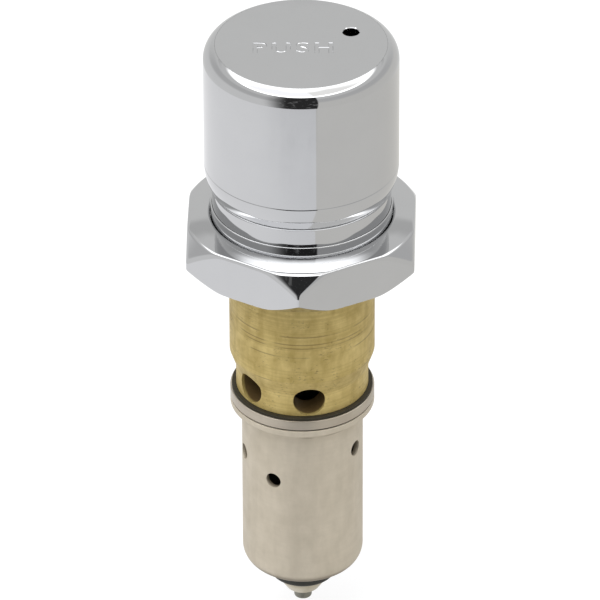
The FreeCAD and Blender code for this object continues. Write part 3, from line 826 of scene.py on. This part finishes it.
@dataclass
class CollarAndNut:
    """Flared collar that guides the neck, and the hexagon nut that clamps it."""

    bore: float = 14.8
    rim: tuple[float, float] = (14.98, 9.82)
    flange: tuple[float, float, float] = (15.78, 5.15, 6.15)
    opening: float = 15.04
    opening_round: float = 0.5
    web: float = 6.2
    thread_root: float = 16.55
    thread_crest: float = 15.98
    pitch: float = 1.27
    flat: float = 18.67
    turn: float = -1.6
    crown: tuple[float, float, float] = (19.28, 7.56, 6.8)
    shoulder_slope: float = 54.0
    foot: tuple[float, float] = (19.0, 47.0)
    skeleton: tuple[float, float] = (17.3, 4.0)
    rays: int = 96
    steps: int = 540

    def collar(self) -> list[Vector]:
        """Draws the collar's outline."""
        radius, low, high = self.flange
        return outline([
            Corner(self.bore, low), Corner(radius, low, 0.1), Corner(radius, high, 0.1),
            Corner(self.rim[0], high), Corner(*self.rim, 0.15), Corner(self.bore, self.rim[1])], closed=True)

    def blank(self) -> list[Vector]:
        """Draws the nut's outline, with one point for each ray that will be milled."""
        radius, height, slope = self.crown
        rise = (radius - self.opening) * math.tan(math.radians(slope))
        bend = self.opening_round
        middle = Vector((self.opening + bend, height + rise - bend * (1 + math.tan(math.radians(slope)))))
        points = [middle + Vector((math.cos(turn), math.sin(turn))) * bend
                  for turn in np.linspace(math.pi, math.radians(90 - slope), 14)]
        for ray in range(self.rays + 1):
            angle = math.pi / 2 - math.pi * ray / self.rays
            points.append(Vector(self.skeleton) + Vector((math.cos(angle), math.sin(angle))) * 4.0)
        inside = outline([
            Corner(17.0, 0.0), Corner(self.thread_root, 0.45), Corner(self.thread_root, self.web - 0.5, 0.3),
            Corner(self.thread_crest, self.web), Corner(self.opening, self.web)], closed=False)
        return points + inside

    @staticmethod
    def greater(first: np.ndarray, last: np.ndarray, width: float) -> np.ndarray:
        """Takes the greater of two distances, with a soft crossing of a width."""
        near = np.maximum(width - np.abs(first - last), 0) / width
        return np.maximum(first, last) + near * near * width / 4

    def depth(self, radius: np.ndarray, azimuth: np.ndarray, height: np.ndarray) -> np.ndarray:
        """Measures how far points lie outside the nut's soft-edged form, in millimetres.

        Args:
            radius: Distances from the axis.
            azimuth: Angles round it, in radians.
            height: Heights.

        Returns:
            Distances, negative inside.
        """
        sides = [radius * np.cos(azimuth - math.radians(self.turn + 30 + 60 * i)) - self.flat for i in range(6)]
        body = sides[0]
        for side in sides[1:]:
            body = self.greater(body, side, 0.3)

        def cone(corner: tuple[float, float], slope: float, side: int) -> np.ndarray:
            """Measures the distance from a cone through a corner."""
            tilt = math.radians(slope)
            return (radius - corner[0]) * math.sin(tilt) + side * (height - corner[1]) * math.cos(tilt)

        start, slope = self.crown[:2], self.crown[2]
        crown = self.greater(cone(start, slope, 1), cone(start, self.shoulder_slope, 1), 0.22)
        foot = self.greater(-height, cone((self.foot[0], 0.0), self.foot[1], -1), 0.2)
        return self.greater(self.greater(body, crown, 0.34), foot, 0.2)

    def mill(self, piece: Piece) -> None:
        """Mills the six flats and the soft chamfers into the turned blank.

        Every point outside the skeleton circle moves along its ray to the nut's form. The exact solids
        meet in hard edges here, and the plated nut shows edges that melt into one another.
        """
        mesh = piece.data
        flat = np.empty(len(mesh.vertices) * 3)
        mesh.vertices.foreach_get("co", flat)
        points = flat.reshape(-1, 3) / MM
        radius = np.hypot(points[:, 0], points[:, 1])
        azimuth = np.arctan2(points[:, 0], -points[:, 1])
        out, up = radius - self.skeleton[0], points[:, 2] - self.skeleton[1]
        reach = np.hypot(out, up)
        moved = (np.abs(reach - 4.0) < 0.01) & (out > -0.01)
        out, up = out / np.maximum(reach, 1e-9), up / np.maximum(reach, 1e-9)
        low, high = np.zeros(len(points)), np.full(len(points), 8.0)
        for _ in range(40):
            middle = (low + high) / 2
            far = self.depth(self.skeleton[0] + out * middle, azimuth, self.skeleton[1] + up * middle) > 0
            high, low = np.where(far, middle, high), np.where(far, low, middle)
        new = np.stack([(self.skeleton[0] + out * low) * np.sin(azimuth),
                        -(self.skeleton[0] + out * low) * np.cos(azimuth), self.skeleton[1] + up * low], axis=1)
        points[moved] = new[moved]
        mesh.vertices.foreach_set("co", (points * MM).ravel())
        mesh.update()

    def thread(self) -> Piece:
        """Winds the nut's thread: a ridge on the bore, one turn to each pitch."""
        deselect()
        bpy.ops.mesh.primitive_plane_add(size=MM)
        piece = bpy.context.active_object
        piece.name = piece.data.name = "cap_nut_thread"
        bpy.ops.object.mode_set(mode="EDIT")
        bpy.ops.mesh.select_all(action="SELECT")
        bpy.ops.mesh.merge(type="CENTER")
        half, start = self.pitch * 0.42, 0.75
        path = [Vector((self.thread_root + 0.02, start - half)), Vector((self.thread_crest, start - 0.08)),
                Vector((self.thread_crest, start + 0.08)), Vector((self.thread_root + 0.02, start + half))]
        bpy.ops.transform.translate(value=(path[0].x * MM, 0, path[0].y * MM))
        for last, point in zip(path, [*path[1:], path[0]]):
            step = (point - last) * MM
            bpy.ops.mesh.extrude_region_move(TRANSFORM_OT_translate={"value": (step.x, 0, step.y)})
        bpy.ops.mesh.select_all(action="SELECT")
        bpy.ops.mesh.remove_doubles(threshold=1e-7)
        bpy.ops.mesh.edge_face_add()
        bpy.ops.object.mode_set(mode="OBJECT")
        turns = 3
        modifier = piece.modifiers.new("wind", "SCREW")
        modifier.screw_offset, modifier.iterations = self.pitch * MM, turns
        modifier.steps = modifier.render_steps = 120
        modifier.use_merge_vertices = False
        modifier.use_normal_calculate = True
        bpy.ops.object.modifier_apply(modifier=modifier.name)
        bpy.ops.object.mode_set(mode="EDIT")
        bpy.ops.mesh.select_all(action="SELECT")
        bpy.ops.mesh.normals_make_consistent(inside=False)
        bpy.ops.object.mode_set(mode="OBJECT")
        return piece

    def build(self, dresser: Dresser) -> None:
        """Builds the collar, the nut and its thread."""
        dresser.finish(turned("collar_flared", self.collar(), steps=200), Body.VALVE, Slot.CHROME, ("guide_collar",))
        nut = turned("nut_hexagon", self.blank(), steps=self.steps)
        self.mill(nut)
        dresser.finish(nut, Body.NUT, Slot.CHROME, ("hex_cap_nut",), sharp=math.radians(32))
        dresser.finish(self.thread(), Body.NUT, Slot.CHROME)


@dataclass
class ValveBody:
    """Brass body: boss, flange, spigot with its ports, and the seat's thin end."""

    spigot: float = 12.05
    land: float = 11.0
    taper: tuple[float, float] = (-18.4, -21.4)
    foot: float = -25.5
    flange: tuple[float, float, float] = (15.73, 4.0, 5.15)
    boss: tuple[float, float] = (11.2, 22.0)
    port: float = 5.3
    port_height: float = -22.6
    port_azimuths: tuple[float, ...] = (6.0, -52.0)

    def profile(self) -> list[Vector]:
        """Draws the body's outline."""
        radius, low, high = self.flange
        return outline([
            Corner(3.05, -5.0), Corner(3.05, 5.1), Corner(5.1, 5.1), Corner(5.1, 7.5), Corner(6.5, 7.5),
            Corner(6.5, self.boss[1], 0.25), Corner(*self.boss, 0.5), Corner(self.boss[0], high, 0.4),
            Corner(radius, high, 0.15), Corner(radius, low, 0.15), Corner(self.spigot, low), Corner(self.spigot, 2.35),
            Corner(10.9, 2.35, 0.1), Corner(10.9, 0.45, 0.1), Corner(self.spigot, 0.45, 0.08),
            Corner(self.spigot, self.taper[0], 0.35), Corner(self.land, self.taper[1], 0.5),
            Corner(self.land, self.foot, 0.1), Corner(9.2, self.foot), Corner(9.2, -33.0, 0.2), Corner(5.6, -33.0),
            Corner(5.3, -33.4, 0.08), Corner(5.0, -33.4, 0.08), Corner(5.0, -31.0), Corner(6.55, -31.0),
            Corner(6.55, -5.0, 0.6)], closed=True)

    def on_rim(self, point: Vector) -> bool:
        """Says whether a point in millimetres is on a port's outer rim."""
        return (math.hypot(point.x, point.y) > self.land - 0.3
                and abs(point.z - self.port_height) < self.port / 2 + 0.05)

    def build(self, dresser: Dresser) -> None:
        """Builds the body."""
        body = turned("brass_body", self.profile(), steps=200)
        for azimuth in self.port_azimuths:
            cut(body, cross_tool(self.port, self.port_height, azimuth, self.spigot + 1))
        soften_rims(body, self.on_rim, 0.13)
        dresser.finish(body, Body.VALVE, Slot.BRASS, ("valve_body",))


@dataclass
class BodySeals:
    """Gasket under the flange and the ring seal in the spigot's groove."""

    gasket: tuple[float, float, float, float] = (12.75, 15.58, 3.0, 4.0)
    seal_radius: float = 11.75
    seal_section: float = 1.7
    seal_height: float = 1.4

    def build(self, dresser: Dresser) -> None:
        """Builds both seals."""
        inner, outer, low, high = self.gasket
        gasket = outline([Corner(inner, low, 0.1), Corner(outer, low, 0.1), Corner(outer, high, 0.1),
                          Corner(inner, high, 0.1)], closed=True)
        dresser.finish(turned("flange_gasket", gasket), Body.VALVE, Slot.RUBBER, ("neck_gasket",))
        loop = [Vector((self.seal_radius + self.seal_section / 2 * math.cos(angle),
                        self.seal_height + self.seal_section / 2 * math.sin(angle)))
                for angle in np.linspace(0, math.tau, 24, endpoint=False)]
        ring = turned("spigot_seal", loop)
        dresser.finish(ring, Body.VALVE, Slot.RUBBER, ("body_o_ring",), sharp=math.radians(60))


@dataclass
class RingAndSleeve:
    """Dark gasket, metal ring and the thin drawn sleeve with its cross holes."""

    bore: float = 9.25
    flange: float = 12.0
    gasket: tuple[float, float, float] = (11.72, -25.95, -25.5)
    # Outer radius of the black band of painted shade that fills the groove under the ring.
    joint: float = 11.7
    joint_gap: float = 0.3
    ring: tuple[float, float] = (-27.95, -25.95)
    lip: float = -29.1
    wall: float = 10.1
    foot: float = -60.75
    thickness: float = 0.85
    foot_round: float = 3.0
    foot_hole: float = 7.2
    hole: float = 2.7
    holes: tuple[tuple[float, float], ...] = ((-35.9, 61.0), (-37.8, 106.0), (-39.7, 151.0))

    def sleeve(self) -> list[Vector]:
        """Draws the sleeve's outline, with the swell under its flange and the drawn foot."""
        floor = self.foot + self.thickness
        return outline([
            Corner(self.bore, self.ring[0]), Corner(self.bore, floor, self.foot_round - self.thickness),
            Corner(self.foot_hole / 2, floor), Corner(self.foot_hole / 2, self.foot, 0.2),
            Corner(self.wall, self.foot, self.foot_round), Corner(self.wall, self.lip - 1.4, 4.0),
            Corner(self.wall + 0.12, self.lip, 0.35), Corner(self.flange, self.lip, 0.25),
            Corner(self.flange, self.ring[0], 0.12)], closed=True)

    def on_rim(self, point: Vector) -> bool:
        """Says whether a point in millimetres is on the outer rim of a cross hole."""
        near = any(abs(point.z - height) < self.hole / 2 + 0.05 for height, _ in self.holes)
        return near and math.hypot(point.x, point.y) > self.wall - 0.2

    def build(self, dresser: Dresser) -> None:
        """Builds the gasket, the ring and the sleeve."""
        outer, low, high = self.gasket
        gasket = outline([Corner(self.bore, low), Corner(outer, low, 0.08), Corner(outer, high, 0.08),
                          Corner(self.bore, high)], closed=True)
        dresser.finish(turned("ring_seat_gasket", gasket), Body.VALVE, Slot.FIBRE, ("ring_gasket",))
        low, high = self.ring
        edge = low + self.joint_gap
        ring = outline([Corner(self.bore, low), Corner(self.joint - 0.3, low), Corner(self.joint - 0.3, edge),
                        Corner(self.flange, edge, 0.07), Corner(self.flange, high, 0.16),
                        Corner(self.bore, high)], closed=True)
        dresser.finish(turned("seal_ring_metal", ring, steps=200), Body.VALVE, Slot.RING, ("seal_ring",))
        # Painted shade: a thin black rubber band fills the groove, so the gap between the ring and the sleeve's flange
        # reads black.
        joint = outline([Corner(self.joint - 0.35, low - 0.02), Corner(self.joint, low - 0.02),
                         Corner(self.joint, edge + 0.02), Corner(self.joint - 0.35, edge + 0.02)], closed=True)
        dresser.finish(turned("ring_gap_shade", joint), Body.VALVE, Slot.RUBBER)
        sleeve = turned("sleeve_drawn", self.sleeve(), steps=200)
        for height, azimuth in self.holes:
            cut(sleeve, cross_tool(self.hole, height, azimuth, self.flange))
        soften_rims(sleeve, self.on_rim, 0.1)
        dresser.finish(sleeve, Body.VALVE, Slot.SLEEVE, ("sleeve",))


@dataclass
class SpindleAndFoot:
    """Stepped spindle, the foot washer and its small tapered nut."""

    rod_radius: float = 3.0
    shank: float = 2.4
    foot: float = 1.8
    tip: float = 1.5
    shoulder: float = -67.1
    top: float = 35.05
    groove_depth: float = 0.35
    clip_heights: tuple[tuple[float, float], ...] = ((33.05, 33.85), (-50.15, -49.35))
    washer: tuple[float, float, float] = (5.58, -63.7, -60.8)
    retainer: tuple[float, float, float] = (3.7, -66.2, -63.7)
    lowest: float = -68.9

    def spindle(self) -> list[Vector]:
        """Draws the spindle's outline from the top of the rod to the tip."""
        grip = self.shank - self.groove_depth
        (head_low, head_high), (foot_low, foot_high) = self.clip_heights
        return outline([
            Corner(0, self.top), Corner(self.shank, self.top, 0.3), Corner(self.shank, head_high),
            Corner(grip, head_high), Corner(grip, head_low), Corner(self.shank, head_low), Corner(self.shank, 30.05),
            Corner(self.rod_radius, 30.05, 0.1), Corner(self.rod_radius, -33.45, 0.1), Corner(self.shank, -33.45),
            Corner(self.shank, foot_high), Corner(grip, foot_high), Corner(grip, foot_low),
            Corner(self.shank, foot_low), Corner(self.shank, -50.95), Corner(self.foot, -51.55, 0.2),
            Corner(self.foot, self.shoulder, 0.1), Corner(self.tip, self.shoulder - 0.4, 0.1),
            Corner(self.tip, self.lowest, 0.4), Corner(0, self.lowest)], closed=False)

    def build(self, dresser: Dresser) -> None:
        """Builds the spindle, the washer and its nut."""
        spindle = turned("spindle_rod", self.spindle(), closed=False, steps=96)
        dresser.finish(spindle, Body.PLUNGER, Slot.STAINLESS, ("spindle",))
        radius, low, high = self.washer
        washer = outline([Corner(self.foot + 0.05, low), Corner(radius - 0.1, low, 0.5), Corner(radius, high - 1.2, 1.5),
                          Corner(radius - 0.12, high, 0.4), Corner(self.foot + 0.05, high)], closed=True)
        dresser.finish(turned("foot_washer_rubber", washer), Body.PLUNGER, Slot.RUBBER, ("foot_washer",))
        radius, low, high = self.retainer
        nut = outline([Corner(self.foot + 0.05, low - 0.6), Corner(radius - 1.0, low - 0.6, 0.5),
                       Corner(radius + 0.2, high - 1.3, 1.2), Corner(radius + 0.15, high, 0.1),
                       Corner(self.foot + 0.05, high)], closed=True)
        dresser.finish(turned("washer_nut", nut), Body.PLUNGER, Slot.RETAINER, ("washer_retainer",))


@dataclass
class ReturnSpring:
    """Coil with ground ends between the seal washer and the plunger head."""

    radius: float = 5.35
    wire: float = 1.3
    turns: int = 7
    foot: float = 8.3
    top: float = 28.65
    stroke: float = 3.0

    def build(self, dresser: Dresser) -> None:
        """Winds the coil and grinds its ends flat."""
        deselect()
        bpy.ops.mesh.primitive_circle_add(vertices=16, radius=self.wire / 2 * MM, fill_type="NGON")
        coil = bpy.context.active_object
        coil.name = coil.data.name = "return_coil"
        upright = Matrix.Translation((self.radius * MM, 0, self.foot * MM)) @ Matrix.Rotation(math.pi / 2, 4, "X")
        place(coil, upright)
        choose(coil)
        modifier = coil.modifiers.new("wind", "SCREW")
        modifier.screw_offset = (self.top - self.foot) / self.turns * MM
        modifier.iterations = self.turns
        modifier.steps = modifier.render_steps = 48
        modifier.use_normal_calculate = True
        bpy.ops.object.modifier_apply(modifier=modifier.name)
        bpy.ops.object.mode_set(mode="EDIT")
        for height, sense in ((self.foot, -1), (self.top, 1)):
            bpy.ops.mesh.select_all(action="SELECT")
            bpy.ops.mesh.bisect(plane_co=(0, 0, height * MM), plane_no=(0, 0, sense), use_fill=True, clear_outer=True)
        bpy.ops.mesh.select_all(action="SELECT")
        bpy.ops.mesh.remove_doubles(threshold=1e-7)
        bpy.ops.mesh.normals_make_consistent(inside=False)
        bpy.ops.object.mode_set(mode="OBJECT")
        dresser.finish(coil, Body.VALVE, Slot.SPRING, ("return_spring",), sharp=math.radians(40))
        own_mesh(coil)


KEPT_NODES = {
    "button_snap_ring": Slot.SPRING, "plunger_head": Slot.BRASS, "thrust_washer": Slot.PLASTIC,
    "head_clip": Slot.SPRING, "stroke_screw": Slot.STAINLESS, "seal_washer": Slot.STAINLESS,
    "stem_seal": Slot.RUBBER, "valve_disc": Slot.RUBBER, "disc_holder": Slot.BRASS, "spacer_tube": Slot.BRASS,
    "cup_seal": Slot.RUBBER, "piston": Slot.PLASTIC, "piston_clip": Slot.SPRING}


# Studio


@dataclass
class Studio:
    """Pale floor, a tent of soft light and the camera at the picture's angle."""

    floor_height: float = -72.2
    aim: tuple[float, float, float] = (-0.00033, 0.0, -0.0097)
    distance: float = 1.3119
    elevation: float = 32.6
    lens: float = 475.8
    roll: float = -0.21

    def camera(self) -> None:
        """Places the camera in front of the part, above it."""
        deselect()
        bpy.ops.object.camera_add()
        camera = bpy.context.active_object
        camera.name = "camera"
        angle = math.radians(self.elevation)
        back = Vector((0, -math.cos(angle), math.sin(angle)))
        camera.location = Vector(self.aim) + back * self.distance
        level = back.to_track_quat("Z", "Y").to_matrix()
        camera.rotation_euler = (level @ Matrix.Rotation(math.radians(self.roll), 3, "Z")).to_euler()
        camera.data.lens, camera.data.sensor_width = self.lens, 36.0
        camera.data.clip_start, camera.data.clip_end = 0.05, 20.0
        bpy.context.scene.camera = camera

    def floor(self) -> None:
        """Lays the floor: white to the eye, with the soft shadow that the part throws."""
        deselect()
        bpy.ops.mesh.primitive_plane_add(size=8.0, location=(0, 0, self.floor_height * MM))
        floor = bpy.context.active_object
        floor.name = "floor"
        floor.visible_glossy = False
        material, bench, shader, place_in = surface("floor_paper")
        tree = material.node_tree
        grain = bench.noise(place_in, 30.0, 2.0)
        bench.feed(shader.inputs["Base Color"], bench.blend(grain, (0.36, 0.36, 0.36), (0.38, 0.38, 0.38)))
        shader.inputs["Roughness"].default_value = 1.0
        shader.inputs["Specular IOR Level"].default_value = 0.0
        path = bench.node("ShaderNodeLightPath")
        seen = bench.math("MAXIMUM", path.outputs["Is Camera Ray"],
                          bench.math("MAXIMUM", path.outputs["Is Glossy Ray"], path.outputs["Is Transmission Ray"]))
        glow = bench.node("ShaderNodeEmission", {"Strength": bench.math("MULTIPLY", seen, 0.74)})
        lit = bench.node("ShaderNodeAddShader", {0: shader.outputs[0], 1: glow.outputs[0]})
        clear = bench.node("ShaderNodeBsdfTransparent")
        under = bench.node("ShaderNodeNewGeometry").outputs["Backfacing"]
        mixed = bench.node("ShaderNodeMixShader", {0: under, 1: lit.outputs[0], 2: clear.outputs[0]})
        bench.feed(tree.nodes["Material Output"].inputs["Surface"], mixed.outputs[0])
        floor.data.materials.append(material)

    def tent(self, bench: Bench) -> Socket:
        """Paints the studio that polished metal shows, by direction alone.

        Args:
            bench: Bench of the world's tree.

        Returns:
            The colour of the studio in each direction.
        """
        parts = bench.node("ShaderNodeSeparateXYZ", {0: bench.node("ShaderNodeTexCoord").outputs["Generated"]})
        x, y, z = (parts.outputs[i] for i in range(3))
        azimuth = bench.math("DEGREES", bench.math("ARCTAN2", x, bench.math("MULTIPLY", y, -1.0)))
        rise = bench.math("DEGREES", bench.math("ARCSINE", bench.math("MINIMUM", bench.math("MAXIMUM", z, -1.0), 1.0)))
        turn = bench.math("ABSOLUTE", azimuth)
        right, behind = bench.ramp(azimuth, 16.6, 17.6), bench.ramp(turn, 120.0, 165.0)
        table = bench.blend(bench.ramp(azimuth, -75.0, 16.0), (1.045, 1.045, 1.06), (0.925, 0.93, 0.95))
        table = bench.blend(right, table, (0.80, 0.79, 0.765))
        table = bench.blend(bench.ramp(azimuth, 70.0, 150.0), table, (0.76, 0.745, 0.71))
        low = bench.blend(right, (0.87, 0.87, 0.87), (0.78, 0.77, 0.745))
        wall = bench.blend(bench.ramp(rise, 2.0, 14.0), low, (0.64, 0.64, 0.64))
        wall = bench.blend(bench.ramp(rise, 25.0, 33.0), wall, (0.80, 0.80, 0.795))
        back = bench.blend(bench.ramp(rise, 32.5, 33.9), (0.81, 0.81, 0.80), (0.62, 0.62, 0.615))
        back = bench.blend(bench.ramp(rise, 35.5, 38.0), back, (0.80, 0.80, 0.795))
        wall = bench.blend(behind, wall, back)
        slot = bench.math("MULTIPLY", bench.ramp(azimuth, -46.0, -15.0), bench.ramp(azimuth, 17.6, 19.4, 1.0, 0.0))
        gear = bench.ramp(bench.noise(bench.node("ShaderNodeTexCoord").outputs["Generated"], 9.0, 3.0), 0.58, 0.68)
        dark = bench.number(gear, 0.035, 0.2)
        wall = bench.blend(slot, wall, bench.node("ShaderNodeCombineXYZ", {0: dark, 1: dark, 2: dark}).outputs[0])
        colour = bench.blend(bench.ramp(rise, -31.6, -29.5), table, wall)
        front = bench.math("MULTIPLY", bench.ramp(rise, 74.0, 84.0, 1.0, 0.0), bench.ramp(turn, 80.0, 125.0, 1.0, 0.0))
        box = bench.blend(front, (2.2, 2.2, 2.2), bench.blend(right, (1.72, 1.72, 1.75), (1.36, 1.35, 1.32)))
        strip = bench.math("MULTIPLY", bench.ramp(rise, 48.0, 50.0, 1.0, 0.0), bench.ramp(turn, 80.0, 125.0, 1.0, 0.0))
        box = bench.blend(strip, box, (4.6, 4.6, 4.6))
        return bench.blend(bench.ramp(rise, 41.0, 46.5), colour, box)

    def world(self) -> None:
        """Sets the world: white to the camera, the tent to polished metal, plain light to the rest."""
        world = bpy.data.worlds.new("studio")
        world.use_nodes = True
        bpy.context.scene.world = world
        bench = Bench(world.node_tree)
        plain = world.node_tree.nodes["Background"]
        plain.inputs["Color"].default_value = (0.97, 0.98, 1.0, 1.0)
        plain.inputs["Strength"].default_value = 0.85
        shown = bench.node("ShaderNodeBackground", {"Color": self.tent(bench), "Strength": 1.0})
        white = bench.node("ShaderNodeBackground", {"Color": (1.0, 1.0, 1.0, 1.0), "Strength": 1.0})
        path = bench.node("ShaderNodeLightPath")
        polished = bench.node("ShaderNodeMixShader", {
            0: path.outputs["Is Glossy Ray"], 1: plain.outputs[0], 2: shown.outputs[0]})
        seen = bench.math("MAXIMUM", path.outputs["Is Camera Ray"], path.outputs["Is Transmission Ray"])
        final = bench.node("ShaderNodeMixShader", {0: seen, 1: polished.outputs[0], 2: white.outputs[0]})
        bench.feed(world.node_tree.nodes["World Output"].inputs["Surface"], final.outputs[0])

    def lamp(self) -> None:
        """Hangs one broad soft lamp over the part, for its shadow on the floor."""
        deselect()
        bpy.ops.object.light_add(type="AREA", location=(-0.25, -0.35, 0.9))
        lamp = bpy.context.active_object
        lamp.name = "softbox"
        lamp.data.size, lamp.data.energy = 0.7, 4.0
        lamp.rotation_euler = lamp.location.to_track_quat("Z", "Y").to_euler()
        lamp.visible_glossy = False

    def build(self) -> None:
        """Builds the studio."""
        self.camera()
        self.floor()
        self.world()
        self.lamp()
        view = bpy.context.scene.view_settings
        view.view_transform = "Standard"


def main() -> None:
    """Builds the part around the frame, then the studio."""
    logging.basicConfig(level=logging.INFO, format="%(name)s: %(message)s")
    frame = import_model()
    dresser = Dresser(frame)
    for assembly in (PushButton(), CollarAndNut(), ValveBody(), BodySeals(), RingAndSleeve(), SpindleAndFoot(),
                     ReturnSpring()):
        assembly.build(dresser)
    dresser.dress_nodes(KEPT_NODES)
    Studio().build()


if __name__ == "__main__":
    main()
